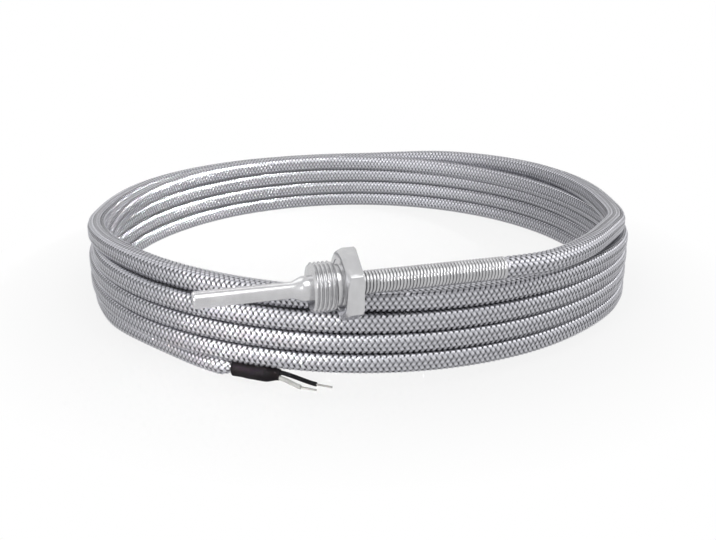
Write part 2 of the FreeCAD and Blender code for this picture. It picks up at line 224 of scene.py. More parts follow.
# Finishes: noise scales, ranges of roughness and reliefs
NOISE_DETAIL = 3.0
EVEN = (1, 1, 1)
TINT_SPAN = (0.3, 0.7)      # the noise values at which a colour is at its darkest and its lightest
LATHE_STRETCH = (9000, 60, 60)
LATHE_ROUGHNESS = (-0.08, 0.1)
LATHE_RELIEF = dict(strength=0.12, distance=0.02 * MM)
STEEL_CLOUDS = 260.0
BRAID_COLOUR = (0.7, 0.7, 0.74)
# painted shade: the colour of a strand where it dips under another; the crests keep the strand's own colour
BRAID_DIP_SHADE = (0.13, 0.13, 0.14)
BRAID_CRESTS = ((0.55, 0.55, 0.59), (0.66, 0.66, 0.7))
BRAID_ROUGHNESS = (0.3, 0.46)
BRAID_MEAN_ROUGHNESS = 0.33
BRAID_CLOUDS = 900.0
BRAID_RELIEF = dict(strength=0.35, distance=0.03 * MM)
WIRES_PER_STRAND = 6
COVER_SKIN = 1400.0
COVER_CLOUDS = 350.0
COVER_ROUGHNESS = (-0.1, 0.12)
COVER_RELIEF_DEPTH = 0.05 * MM
PLAIN_SHINE = 0.5
BLACK_SHINE = 0.05

# Studio
FLOOR_HALF_SIZE = 6.0
FLOOR_GREY = 0.46
FLOOR_MIDDLE = COIL_CENTRE + Vector((0, 0, FLOOR_Z))
FLOOR_NEAR_FAR = (0.088, 0.13)      # ways from the coil's middle between which the floor turns white,
FLOOR_WHITE = (0.84, 1.0)           # and how white it is at each
SKY_SPAN = (-0.1, 0.9)              # from just under the horizon to high above it
SKY_LEVELS = (0.68, 0.84)
# Soft boxes, in metres, watts and degrees; two of them have a grid for a narrow beam
LAMPS = [
    # the main light, over the left shoulder
    dict(name="main", place=COIL_CENTRE + Vector((-0.6, -0.55, 0.3)), aim=COIL_CENTRE, size=0.26, power=3.6),
    # a narrow beam on the bright turns below the tube
    dict(name="front", place=Vector((-0.7, -0.34, 0.28)), aim=Vector((-0.019, 0.022, -0.016)), size=0.04,
         power=0.009, spread_deg=4.5),
    # a fill from the right
    dict(name="fill", place=COIL_CENTRE + Vector((0.6, -0.35, 0.4)), aim=COIL_CENTRE, size=0.4, power=1.0),
    # a weaker light from above and behind
    dict(name="top", place=COIL_CENTRE + Vector((-0.3, 0.4, 0.62)), aim=COIL_CENTRE, size=0.5, power=0.8),
    # a light along the right end
    dict(name="rim", place=COIL_CENTRE + Vector((0.72, 0.0, 0.36)), aim=COIL_CENTRE, size=0.4, power=0.9),
    # a narrow beam on the coil's inner wall at the back left
    dict(name="inside", place=Vector((0.62, -0.08, 0.47)), aim=Vector((-0.03, 0.155, -0.015)), size=0.08,
         power=0.11, spread_deg=13.0),
    # a box above the probe, for the bright line along the tube
    dict(name="line", place=Vector((0.1, -0.27, 0.6)), aim=Vector((0.0, 0.0, 0.0)), size=0.42, power=1.4),
]


def node_of(nodes, kind, **inputs):
    """A new shader node with some of its inputs set."""
    node = nodes.new(kind)
    for name, value in inputs.items():
        node.inputs[name.replace("_", " ")].default_value = value
    return node


def computed(nodes, links, operation, first, second):
    """The result of a math node on two values, each a number or the output of another node."""
    node = nodes.new("ShaderNodeMath")
    node.operation = operation
    for socket, value in zip(node.inputs, (first, second)):
        if isinstance(value, (int, float)):
            socket.default_value = value
        else:
            links.new(value, socket)
    return node.outputs["Value"]


def scaled_noise(nodes, links, scale, stretch):
    """Noise, 0 to 1, in the object's own coordinates, stretched along the axes."""
    place = nodes.new("ShaderNodeTexCoord")
    mapping = node_of(nodes, "ShaderNodeMapping", Scale=stretch)
    noise = node_of(nodes, "ShaderNodeTexNoise", Scale=scale, Detail=NOISE_DETAIL)
    links.new(place.outputs["Object"], mapping.inputs["Vector"])
    links.new(mapping.outputs["Vector"], noise.inputs["Vector"])
    return noise.outputs["Fac"]


def ranged(nodes, links, source, to_span, from_span=(0.0, 1.0)):
    """A value taken from one range to another, and held at its ends."""
    node = node_of(nodes, "ShaderNodeMapRange", From_Min=from_span[0], From_Max=from_span[1],
                   To_Min=to_span[0], To_Max=to_span[1])
    links.new(source, node.inputs["Value"])
    return node.outputs["Result"]


def tinted(nodes, links, source, dark, light):
    """A texture's value as a colour between two."""
    ramp = nodes.new("ShaderNodeValToRGB")
    for stop, colour, position in zip(ramp.color_ramp.elements, (dark, light), TINT_SPAN):
        stop.color = (*colour, 1)
        stop.position = position
    links.new(source, ramp.inputs["Fac"])
    return ramp.outputs["Color"]


def bumped(nodes, links, source, shader, strength, distance):
    """Give a shader a relief."""
    bump = node_of(nodes, "ShaderNodeBump", Strength=strength, Distance=distance)
    links.new(source, bump.inputs["Height"])
    links.new(bump.outputs["Normal"], shader.inputs["Normal"])


def material(name, colour, metallic, roughness):
    """A node material with its shader's plain values set, its nodes, their links and its shader."""
    made = bpy.data.materials.new(name)
    made.use_nodes = True
    shader = made.node_tree.nodes["Principled BSDF"]
    shader.inputs["Base Color"].default_value = (*colour, 1)
    shader.inputs["Metallic"].default_value = metallic
    shader.inputs["Roughness"].default_value = roughness
    return made, made.node_tree.nodes, made.node_tree.links, shader


def turned_steel(name, dark, light, rough):
    """Steel off the lathe: fine rings round the X axis, and faint clouds in the polish."""
    made, nodes, links, shader = material(name, light, 1.0, rough)
    rings = scaled_noise(nodes, links, 1.0, LATHE_STRETCH)
    clouds = scaled_noise(nodes, links, STEEL_CLOUDS, EVEN)
    roughness = [rough + change for change in LATHE_ROUGHNESS]
    links.new(tinted(nodes, links, clouds, dark, light), shader.inputs["Base Color"])
    links.new(ranged(nodes, links, rings, roughness), shader.inputs["Roughness"])
    bumped(nodes, links, rings, shader, **LATHE_RELIEF)
    return made


def braid_steel():
    """Bright braiding wire, with painted shade where a strand dips under another: each strand is a few fine
    wires.
    """
    made, nodes, links, shader = material("braid_steel", BRAID_COLOUR, 1.0, BRAID_MEAN_ROUGHNESS)
    # the crest attribute mixes the dips' painted shade into the crest colours
    crest_unshaded = nodes.new("ShaderNodeAttribute")
    crest_unshaded.attribute_name = "CrestUnshaded"
    place = nodes.new("ShaderNodeUVMap")
    place.uv_map = "Strand"
    split = nodes.new("ShaderNodeSeparateXYZ")
    links.new(place.outputs["UV"], split.inputs["Vector"])
    half_wires = computed(nodes, links, "MULTIPLY", split.outputs["Y"], 2 * WIRES_PER_STRAND)
    wires = computed(nodes, links, "PINGPONG", half_wires, 1.0)
    clouds = scaled_noise(nodes, links, BRAID_CLOUDS, EVEN)
    shade = nodes.new("ShaderNodeMix")
    shade.data_type = "RGBA"
    shade.inputs["A"].default_value = (*BRAID_DIP_SHADE, 1)
    links.new(crest_unshaded.outputs["Fac"], shade.inputs["Factor"])
    links.new(tinted(nodes, links, clouds, *BRAID_CRESTS), shade.inputs["B"])
    links.new(shade.outputs["Result"], shader.inputs["Base Color"])
    links.new(ranged(nodes, links, clouds, BRAID_ROUGHNESS), shader.inputs["Roughness"])
    bumped(nodes, links, wires, shader, **BRAID_RELIEF)
    return made


def plain_cover(name, dark, light, rough, relief, shine=PLAIN_SHINE):
    """Plastic, rubber or ceramic with a slightly uneven skin."""
    made, nodes, links, shader = material(name, light, 0.0, rough)
    shader.inputs["Specular IOR Level"].default_value = shine
    skin = scaled_noise(nodes, links, COVER_SKIN, EVEN)
    clouds = scaled_noise(nodes, links, COVER_CLOUDS, EVEN)
    roughness = [rough + change for change in COVER_ROUGHNESS]
    links.new(tinted(nodes, links, clouds, dark, light), shader.inputs["Base Color"])
    links.new(ranged(nodes, links, skin, roughness), shader.inputs["Roughness"])
    bumped(nodes, links, skin, shader, relief, COVER_RELIEF_DEPTH)
    return made


STEEL = turned_steel("turned_steel", dark=(0.5, 0.5, 0.51), light=(0.58, 0.58, 0.59), rough=0.21)
SPRING_STEEL = turned_steel("spring_steel", dark=(0.42, 0.42, 0.43), light=(0.52, 0.52, 0.53), rough=0.24)
WIRE_METAL = turned_steel("bare_wire", dark=(0.24, 0.235, 0.225), light=(0.32, 0.315, 0.3), rough=0.4)
BRAID_STEEL = braid_steel()
# The cable's core: its near-black colour is painted shade, seen in the gaps between the braid's strands
CORE_SHADE_COVER = plain_cover("braid_shade", dark=(0.06, 0.06, 0.065), light=(0.09, 0.09, 0.095), rough=0.6,
                         relief=0.2)
BLACK_SHRINK = plain_cover("black_shrink", dark=(0.006, 0.005, 0.006), light=(0.013, 0.012, 0.013),
                           rough=0.62, relief=0.25, shine=BLACK_SHINE)
BLACK_COVER = plain_cover("black_insulation", dark=(0.008, 0.008, 0.009), light=(0.018, 0.018, 0.02),
                          rough=0.4, relief=0.1, shine=BLACK_SHINE)
WHITE_COVER = plain_cover("white_insulation", dark=(0.4, 0.4, 0.38), light=(0.5, 0.5, 0.48), rough=0.45,
                          relief=0.1)
CERAMIC = plain_cover("oxide_ceramic", dark=(0.74, 0.71, 0.64), light=(0.84, 0.81, 0.74), rough=0.6,
                      relief=0.15)
CEMENT = plain_cover("cement", dark=(0.42, 0.4, 0.36), light=(0.6, 0.57, 0.52), rough=0.8, relief=0.4)

# Pieces inside the probe keep their solids and only get a finish
INNER_FINISHES = {
    "measuring_junction": WIRE_METAL,
    "positive_leg": WIRE_METAL,
    "negative_leg": WIRE_METAL,
    "crimp_ferrule": STEEL,
    "cable_end": CORE_SHADE_COVER,
    "positive_core_sleeve": BLACK_COVER,
    "negative_core_sleeve": WHITE_COVER,
    "ceramic_insulator": CERAMIC,
    "potting_plug": CEMENT,
}


def piece(name, data, finish, replaced=()):
    """A new object of the part: it rides on the part's body and takes its finish from a slot."""
    made = bpy.data.objects.new(name, data)
    bpy.context.scene.collection.objects.link(made)
    data.materials.append(finish)
    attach(made, BODY)
    if replaced:
        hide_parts(*replaced)
    return made


def mesh_from(name, points, quads):
    """A mesh from points and quads."""
    mesh = bpy.data.meshes.new(name)
    mesh.from_pydata([tuple(p) for p in points], [], [tuple(q) for q in quads])
    return mesh


def finished(mesh, merge=MERGE, sharp_deg=SHARP_DEG):
    """Join doubled points, drop faces without area, turn the faces outwards and set the sharp edges."""
    work = bmesh.new()
    work.from_mesh(mesh)
    bmesh.ops.remove_doubles(work, verts=work.verts, dist=merge)
    bmesh.ops.dissolve_degenerate(work, edges=work.edges, dist=merge)
    bmesh.ops.recalc_face_normals(work, faces=work.faces)
    work.to_mesh(mesh)
    work.free()
    mesh.shade_smooth()
    mesh.set_sharp_from_angle(angle=math.radians(sharp_deg))
    return mesh


def ring_quads(rows, columns):
    """The quads between rows of points that each run once round."""
    quads = []
    for i in range(rows - 1):
        row, next_row = i * columns, (i + 1) * columns
        for j in range(columns):
            after = (j + 1) % columns
            quads.append((row + j, row + after, next_row + after, next_row + j))
    return quads


def round_axis(x, r, angle):
    """A point at a distance from the X axis, at an angle that starts at +Z and turns to +Y."""
    return x, r * math.sin(angle), r * math.cos(angle)


def rounded(outline, radius):
    """An outline of (x, r) points with each inner corner turned into a small arc."""
    made = [outline[0]]
    for before, corner, after in zip(outline, outline[1:], outline[2:]):
        corner_v = Vector(corner)
        to_before = Vector(before) - corner_v
        to_after = Vector(after) - corner_v
        reach = min(radius, ROUNDING_LIMIT * to_before.length, ROUNDING_LIMIT * to_after.length)
        start = corner_v + to_before.normalized() * reach
        end = corner_v + to_after.normalized() * reach
        for k in range(ROUNDING_STEPS + 1):
            t = k / ROUNDING_STEPS
            made.append(tuple(start * (1 - t) ** 2 + corner_v * (2 * t * (1 - t)) + end * t ** 2))
    made.append(outline[-1])
    return made


def lathe(name, outline):
    """A mesh turned from an outline of (x, r) points round the X axis."""
    points = []
    for x, r in outline:
        points += [round_axis(x, r, FULL_TURN * j / LATHE_COLUMNS) for j in range(LATHE_COLUMNS)]
    return finished(mesh_from(name, points, ring_quads(len(outline), LATHE_COLUMNS)))


def protection_tube():
    """The stepped tube, closed and rounded at the tip, with a soft change from cone to shank."""
    inner_r = TUBE_R - TUBE_WALL
    tip = rounded([(X_TIP, 0), (X_TIP, TIP_R), (X_CONE_TIP, TIP_R)], TIP_ROUNDING)
    rest = rounded([(X_CONE_TIP, TIP_R), (X_SHANK_TIP, TUBE_R), (X_SEAT, TUBE_R), (X_SEAT, inner_r),
                    (X_SHANK_TIP, inner_r)], STEP_ROUNDING)
    mesh = lathe("turned_tube", tip[:-1] + rest)
    piece("turned_tube", mesh, STEEL, ["protection_tube"])


def thread_radius(x, angle):
    """The thread's surface: a V groove with flattened crests, bevelled at both ends."""
    phase = (x / THREAD_PITCH - angle / FULL_TURN) % 1.0
    flank = min(max((abs(phase - 0.5) * 2 - THREAD_ROOT) / THREAD_FLANKS, 0.0), 1.0)
    lead_in = THREAD_R - THREAD_DEPTH + (x - X_THREAD_TIP)
    lead_out = THREAD_R - THREAD_END_BEVEL - x
    return min(THREAD_R - THREAD_DEPTH * (1 - flank), lead_in, lead_out)


def hex_radius(angle):
    """The hexagon's outline, corners up and down, with the corners just broken."""
    off_corner = (angle + math.pi / 6) % (math.pi / 3) - math.pi / 6
    return min(HEX_APOTHEM / math.cos(math.pi / 6 - abs(off_corner)), HEX_CORNER_R - HEX_CORNER_BREAK)


def fitting_column(angle):
    """The fitting's outline at an angle round the axis, from the thread's front face to the spring's seat."""
    inside = BORE_R - FACE_OVERLAP
    column = [(X_THREAD_TIP, inside), (X_THREAD_TIP, thread_radius(X_THREAD_TIP, angle) - THREAD_FACE_DROP)]
    for row in range(THREAD_ROWS):
        x = X_THREAD_TIP + THREAD_PITCH * ((row - ROWS_PER_PITCH) / ROWS_PER_PITCH + angle / FULL_TURN)
        x = min(max(x, X_THREAD_TIP), 0.0)
        column.append((x, thread_radius(x, angle)))
    relief_x = X_HEX_FRONT + RELIEF_DEPTH
    column += [(0.0, NECK_R + NECK_FILLET), (NECK_FILLET, NECK_R), (relief_x - NECK_FILLET, NECK_R),
               (relief_x, NECK_R + NECK_FILLET), (relief_x, RELIEF_R), (X_HEX_FRONT, RELIEF_R)]
    side = hex_radius(angle)
    bevel_end = X_HEX_FRONT + (side - HEX_FACE_R) * math.tan(math.pi / 6)
    rear_cut = max(0.0, side - (HEX_CORNER_R - HEX_REAR_BEVEL))
    column += [(X_HEX_FRONT, HEX_FACE_R - FRONT_EDGE_INSIDE),
               (X_HEX_FRONT + FRONT_EDGE_OUTSIDE, HEX_FACE_R + FRONT_EDGE_OUTSIDE),
               (bevel_end, side - BEVEL_EDGE_DROP),
               (bevel_end + BEVEL_EDGE_RUN, side),
               (X_HEX_REAR - rear_cut - REAR_EDGE_RUN, side),
               (X_HEX_REAR - REAR_EDGE_DROP, side - rear_cut - REAR_EDGE_DROP),
               (X_HEX_REAR, side - rear_cut - REAR_FACE_DROP),
               (X_HEX_REAR, SEAT_R + SEAT_BEVEL),
               (X_HEX_REAR - SEAT_BEVEL, SEAT_R),
               (X_SEAT, SEAT_R),
               (X_SEAT, inside)]
    return column


def screw_fitting():
    """The fitting with a true thread, its undercut and its bevelled hexagon."""
    angles = [FULL_TURN * j / FITTING_COLUMNS for j in range(FITTING_COLUMNS)]
    points = []
    for angle in angles:
        points += [round_axis(x, r, angle) for x, r in fitting_column(angle)]
    length = len(points) // FITTING_COLUMNS
    thread_end = ROWS_AHEAD + THREAD_ROWS
    quads = []
    for j in range(FITTING_COLUMNS):
        right = (j + 1) % FITTING_COLUMNS
        for i in range(length - 1):
            # The thread's rows climb one pitch in a turn, so the last column meets the first one pitch on
            in_thread = ROWS_AHEAD <= i < thread_end - 1
            shift = ROWS_PER_PITCH if in_thread and right == 0 else 0
            if in_thread and i + 1 + shift >= thread_end:
                continue
            quads.append((j * length + i, j * length + i + 1, right * length + i + 1 + shift,
                          right * length + i + shift))
    mesh = finished(mesh_from("threaded_fitting", points, quads), FITTING_MERGE, FITTING_SHARP_DEG)
    piece("threaded_fitting", mesh, STEEL, ["screw_fitting"])


def kink_spring():
    """One flat wire with rounded edges, wound close round the cable, with a level last turn."""
    pitch = (X_SPRING_END - X_SEAT) / SPRING_TURNS
    half_width = SPRING_HALF_WIDTH * pitch
    half_thickness = SPRING_THICKNESS / 2
    middle_r = SPRING_R - half_thickness
    count = SPRING_TURNS * SPRING_STEPS + 1
    points = []
    for i in range(count):
        angle = FULL_TURN * i / SPRING_STEPS
        x = min(X_SEAT + pitch / 2 + pitch * i / SPRING_STEPS, X_SPRING_END - pitch / 2)
        closing = max(0.0, i / SPRING_STEPS - (SPRING_TURNS - 1))
        for along, out in SPRING_SECTION:
            r = middle_r + half_thickness * out - SPRING_TUCK * closing
            points.append(round_axis(x + half_width * along, r, angle))
    mesh = mesh_from("wound_spring", points, ring_quads(count, len(SPRING_SECTION)))
    mesh = finished(mesh, sharp_deg=SPRING_SHARP_DEG)
    piece("wound_spring", mesh, SPRING_STEEL, ["kink_spring"])


def on_coil(angle_deg, height, radius):
    """A point over the floor at an angle round the coil, 0 at -Y and counter-clockwise from above."""
    a = math.radians(angle_deg)
    return COIL_CENTRE + Vector((radius * math.sin(a), -radius * math.cos(a), FLOOR_Z + height))


def table_value(table, angle_deg, column):
    """A column of a table at an angle, read between the rows."""
    return np.interp(angle_deg, [row[0] for row in table], [row[column] for row in table])


def turn_height(angle_deg):
    """Height of the cable's middle: a turn lies level, then sinks onto the one below at the right end."""
    if angle_deg < FIRST_TURN[-1][0]:
        return MM * table_value(FIRST_TURN, angle_deg, 2)
    passed = (angle_deg - STEP_DEG) / 360
    level = COIL_TURNS - math.floor(passed + 1)
    into_turn = passed % 1.0
    lift = 0.5 * (1 + math.cos(math.pi * min(into_turn / SINK_TURN, 1.0)))
    near_end = np.interp(into_turn, [0.0, SINK_TURN, 1 - SAG_TURN, 1.0], [1.0, 0.0, 0.0, 1.0])
    sag = SAG * near_end if level + lift > ON_LOWEST else 0.0
    pitch = LEVEL_HEIGHT + LEVEL_TILT * math.cos(math.radians(angle_deg - LOOSEST_DEG))
    return LOWEST + pitch * (level + lift) - sag


def turn_slip(angle_deg):
    """How far a turn lies outside the others."""
    return MM * (table_value(FIRST_TURN, angle_deg, 1) - table_value(GIVING_WAY, angle_deg, 1))


def cable_points():
    """The cable's route: from the spring onto the coil, round its turns, and out along the floor."""
    route = [Vector(p) * MM for p in LEAD_ROUTE]
    sweep = COIL_END_DEG + 360 * COIL_TURNS - COIL_START_DEG
    # The spline runs a little inside the circle of its control points
    pull = math.cos(math.radians(sweep / COIL_STEPS / 2))
    for k in range(COIL_STEPS + 1):
        angle = COIL_START_DEG + sweep * k / COIL_STEPS
        route.append(on_coil(angle, turn_height(angle), (COIL_RADIUS + turn_slip(angle)) / pull))
    route += [Vector(p) * MM for p in TAIL_ROUTE]
    route.append(TAIL_END + TAIL_WAY * NECK_LENGTH)
    route.append(TAIL_END + TAIL_WAY * (NECK_LENGTH + SLEEVE_LENGTH - SLEEVE_TAPER))
    return route


def smooth_curve(name, points, radius):
    """A round bar along a smooth spline."""
    curve = bpy.data.curves.new(name, "CURVE")
    curve.dimensions = "3D"
    curve.bevel_depth = radius
    curve.bevel_resolution = BAR_ROUNDNESS
    curve.use_fill_caps = True
    spline = curve.splines.new("NURBS")
    spline.points.add(len(points) - 1)
    for point, place in zip(spline.points, points):
        point.co = (*place, 1.0)
    spline.order_u = 3
    spline.use_endpoint_u = True
    spline.resolution_u = SPLINE_STEPS
    return curve


def line_of(curve):
    """Points along a curve's own line, as an array."""
    bare = curve.copy()
    bare.bevel_depth = 0.0
    holder = bpy.data.objects.new("line", bare)
    bpy.context.scene.collection.objects.link(holder)
    bpy.context.view_layer.update()
    mesh = bpy.data.meshes.new_from_object(holder)
    line = np.array([v.co[:] for v in mesh.vertices])
    bpy.data.objects.remove(holder)
    bpy.data.meshes.remove(mesh)
    bpy.data.curves.remove(bare)
    return line


class Line:
    """A line with its length and with two ways square to it, one of them level."""

    def __init__(self, line):
        steps = np.linalg.norm(np.diff(line, axis=0), axis=1)
        self.line = line
        self.at = np.concatenate([[0.0], np.cumsum(steps)])
        self.length = self.at[-1]
        ways = np.gradient(line, axis=0)
        ways /= np.linalg.norm(ways, axis=1)[:, None]
        sides = np.cross(ways, UP)
        self.sides = sides / np.linalg.norm(sides, axis=1)[:, None]
        self.ups = np.cross(self.sides, ways)

    def read(self, values, distances):
        """One of the line's arrays at some distances along it."""
        return np.stack([np.interp(distances, self.at, values[:, axis]) for axis in range(3)], axis=-1)

    def around(self, distances, angles, radii):
        """Points round the line, in a squarer section where the coil's turns press each other."""
        middle = self.read(self.line, distances)
        sides, ups = self.read(self.sides, distances), self.read(self.ups, distances)
        across, above = np.cos(angles), np.sin(angles)
        share = np.interp(distances, [*PRESS_LEAD, self.length - PRESS_TAIL[0], self.length - PRESS_TAIL[1]],
                          [0.0, 1.0, 1.0, 0.0])
        square = (np.abs(across) ** PRESS_POWER + np.abs(above) ** PRESS_POWER) ** (-1 / PRESS_POWER)
        radii = radii * (1 + share * (square - 1))
        half = BRAID_R + share * (PRESS_HALF - BRAID_R)
        above = np.clip(radii * above, -half, half)
        return middle + sides * (radii * across)[..., None] + ups * above[..., None]


def cover_radius(line, distances):
    """The braid's outer radius: drawn in under the spring and down to the sheath in the end sleeve."""
    neck_start = line.length - NECK_LENGTH - (SLEEVE_LENGTH - SLEEVE_TAPER)
    profile = [*BRAID_START, (neck_start, BRAID_R), (neck_start + NECK_LENGTH, NECK_D / 2),
               (line.length, NECK_D / 2 - NECK_THINNING)]
    places, radii = zip(*profile)
    return np.interp(distances, places, radii)


def strand_form(line, distances, turn, index):
    """A strand's points, a few across it at each distance, and how high it rides there, which sets its
    painted shade: 1 on a crest, unshaded.
    """
    slant = math.atan2(FULL_TURN * BRAID_R, BRAID_LAY)
    across = STRAND_ACROSS[None, :]
    along = distances[:, None]
    offset = across * STRAND_WIDTH / 2
    places = along - turn * math.sin(slant) * offset
    base = cover_radius(line, places)
    angle = (turn * FULL_TURN * along / BRAID_LAY + FULL_TURN * index / STRANDS_EACH_WAY
             + math.cos(slant) * offset / base)
    beat = turn * np.cos(FULL_TURN * distances / BRAID_WAVE)
    radius = base + STRAND_WAVE * (beat[:, None] - 1) - STRAND_CROWN * np.abs(across)
    points = line.around(np.clip(places, 0, line.length), angle, radius).reshape(-1, 3)
    # 1 on a crest, down to 0 in a dip, where the colour becomes painted shade
    crest_unshaded = (0.5 + 0.5 * beat) ** CREST_POWER
    return points, np.repeat(crest_unshaded, STRAND_ACROSS.size)


def braid_mesh(name, line, start, end):
    """The strands of one stretch of the braid, as ribbons that rise and dip where they cross."""
    count = int(round((end - start) / BRAID_WAVE * STEPS_PER_WAVE)) + 1
    distances = np.linspace(start, end, count)
    forms = [strand_form(line, distances, turn, k) for turn in (1, -1) for k in range(STRANDS_EACH_WAY)]
    points = np.concatenate([form[0] for form in forms])
    crests_unshaded = np.concatenate([form[1] for form in forms])
    width = STRAND_ACROSS.size
    step, lane = np.meshgrid(np.arange(count - 1), np.arange(width - 1), indexing="ij")
    corner = (step * width + lane).reshape(-1)
    ribbon = np.stack([corner, corner + width, corner + width + 1, corner + 1], axis=-1)
    quads = np.concatenate([ribbon + k * count * width for k in range(len(forms))])
    mesh = bpy.data.meshes.new(name)
    mesh.vertices.add(len(points))
    mesh.vertices.foreach_set("co", points.reshape(-1).astype(np.float32))
    mesh.loops.add(quads.size)
    mesh.loops.foreach_set("vertex_index", quads.reshape(-1).astype(np.int32))
    mesh.polygons.add(len(quads))
    mesh.polygons.foreach_set("loop_start", np.arange(0, quads.size, 4, dtype=np.int32))
    mesh.update(calc_edges=True)
    mesh.shade_smooth()
    # the mask for the dips' painted shade
    crest_unshaded = mesh.attributes.new("CrestUnshaded", "FLOAT", "POINT")
    crest_unshaded.data.foreach_set("value", crests_unshaded.astype(np.float32))
    strand_maps(mesh, count - 1, len(forms))
    return mesh


def strand_maps(mesh, steps, strands):
    """Two maps: one along and across each strand, and one that lays the strands out in rows."""
    lanes = STRAND_ACROSS.size - 1
    step = np.repeat(np.arange(steps), lanes)
    lane = np.tile(np.arange(lanes), steps)
    along = np.stack([step, step + 1, step + 1, step], axis=-1)
    across = np.stack([lane, lane, lane + 1, lane + 1], axis=-1) / lanes
    strand_uv = np.stack([along / STEPS_PER_WAVE, across], axis=-1)
    row_steps = math.ceil(steps / UV_ROWS_PER_STRAND)
    row = step // row_steps
    rows = strands * UV_ROWS_PER_STRAND
    inset = UV_ROW_MARGIN + across * (1 - 2 * UV_ROW_MARGIN)
    u = (along - (row * row_steps)[:, None]) / row_steps
    layouts = []
    for strand in range(strands):
        v = (strand * UV_ROWS_PER_STRAND + row[:, None] + inset) / rows
        layouts.append(np.stack([u, v], axis=-1))
    strand_layer = mesh.uv_layers.new(name="Strand")
    strand_layer.data.foreach_set("uv", np.tile(strand_uv.reshape(-1), strands).astype(np.float32))
    bake_layer = mesh.uv_layers.new(name="OFBake")
    bake_layer.data.foreach_set("uv", np.concatenate(layouts).reshape(-1).astype(np.float32))


def cable():
    """The cable as one smooth line: a core coloured near black as painted shade between the strands, and the
    braid round it in a few stretches.
    """
    curve = smooth_curve("cable_core", cable_points(), CORE_R)
    line = Line(line_of(curve))
    for indices, share in (((0, 1), CORE_START), ((-1, -2), CORE_END)):
        for index in indices:
            curve.splines[0].points[index].radius = share
    core = piece("cable_core", curve, CORE_SHADE_COVER, ["cable_lead", "cable_coil", "cable_tail"])
    waves = int(line.length / BRAID_WAVE)
    cuts = [round(waves * k / BRAID_PIECES) * BRAID_WAVE for k in range(BRAID_PIECES + 1)]
    braids = []
    for number, (start, end) in enumerate(zip(cuts, cuts[1:]), 1):
        name = f"cable_braid_{number}"
        braids.append(piece(name, braid_mesh(name, line, start, end), BRAID_STEEL))
    return core, braids


def lead_way(above, run, aside):
    """A core's route: straight out of the sleeve, down to the floor, and level along it."""
    mouth = TAIL_END + TAIL_WAY * (NECK_LENGTH + SLEEVE_LENGTH)
    start = mouth + LEAD_LIFT * (above * LEAD_OFFSET)
    turn_down, turn_level = LEAD_BENDS
    touch_down = start + TAIL_WAY * (turn_level * run) + TAIL_LEFT * aside
    end = start + TAIL_WAY * run + TAIL_LEFT * aside
    touch_down.z = end.z = FLOOR_Z + LEAD_D / 2
    inside = start - TAIL_WAY * LEAD_INSIDE
    return [inside, start + TAIL_WAY * (turn_down * run), touch_down, end]


def lead(name, place, cover, node):
    """One core's insulation and its bare wire end."""
    route = lead_way(**place)
    insulation = piece(name, smooth_curve(name, route, LEAD_D / 2), cover, [node])
    end = route[-1]
    way = (end - route[-2]).normalized()
    wire_route = [end - way * WIRE_TUCK, end + way * (0.5 * WIRE_LENGTH), end + way * WIRE_LENGTH]
    wire_name = name + "_end"
    wire = piece(wire_name, smooth_curve(wire_name, wire_route, WIRE_D / 2), WIRE_METAL,
                 [node + "_wire"])
    return [insulation, wire]


def sleeve_rings():
    """The sleeve's rings: way along it and two radii, from the neck round the rim and into the mouth."""
    neck_r = NECK_D / 2 + SLEEVE_GAP
    rim_r = SLEEVE_R - SLEEVE_RIM_DROP
    mouth_short = LEAD_D / 2 + SLEEVE_WALL
    mouth_long = LEAD_OFFSET + mouth_short
    rings = [(0.0, neck_r, neck_r), (0.0, rim_r, rim_r)]
    for i in range(SLEEVE_ROWS + 1):
        t = i / SLEEVE_ROWS
        drawn = min(max((t * SLEEVE_LENGTH - (SLEEVE_LENGTH - SLEEVE_TAPER)) / SLEEVE_TAPER, 0.0), 1.0)
        drawn = drawn * drawn * (3 - 2 * drawn)
        at = SLEEVE_RIM_RUN + t * (SLEEVE_LENGTH - SLEEVE_RIM_RUN)
        rings.append((at, SLEEVE_R * (1 - drawn) + mouth_long * drawn,
                      SLEEVE_R * (1 - drawn) + mouth_short * drawn))
    rings.append((SLEEVE_LENGTH - SLEEVE_MOUTH_DEPTH, 0.0, 0.0))
    return rings


def shrink_sleeve():
    """The black sleeve: round over the cable's sheath, and drawn down to an oval over the two cores."""
    short_way = TAIL_WAY.cross(LEAD_LIFT)
    start = TAIL_END + TAIL_WAY * NECK_LENGTH
    rings = sleeve_rings()
    points = []
    for at, long_r, short_r in rings:
        for j in range(SLEEVE_COLUMNS):
            a = FULL_TURN * j / SLEEVE_COLUMNS
            wrinkle = 1 + sum(size * math.sin(waves * a + run * at) for size, waves, run in SLEEVE_WRINKLES)
            offset = LEAD_LIFT * (long_r * math.cos(a)) + short_way * (short_r * math.sin(a))
            points.append(start + TAIL_WAY * at + offset * wrinkle)
    mesh = mesh_from("shrink_sleeve", points, ring_quads(len(rings), SLEEVE_COLUMNS))
    mesh = finished(mesh, sharp_deg=SLEEVE_SHARP_DEG)
    return piece("shrink_sleeve", mesh, BLACK_SHRINK, ["heat_shrink_sleeve"])


def dress_inner_nodes():
    """Finishes of the pieces inside the probe, which keep their solids."""
    for node, finish in INNER_FINISHES.items():
        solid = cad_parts[node]
        solid.data.materials.clear()
        solid.data.materials.append(finish)


def background_rays(nodes, links):
    """1 for the rays that show the white background: from the camera, off metal and through glass."""
    rays = nodes.new("ShaderNodeLightPath")
    seen = rays.outputs["Is Camera Ray"]
    for kind in ("Is Glossy Ray", "Is Transmission Ray"):
        seen = computed(nodes, links, "MAXIMUM", seen, rays.outputs[kind])
    return seen


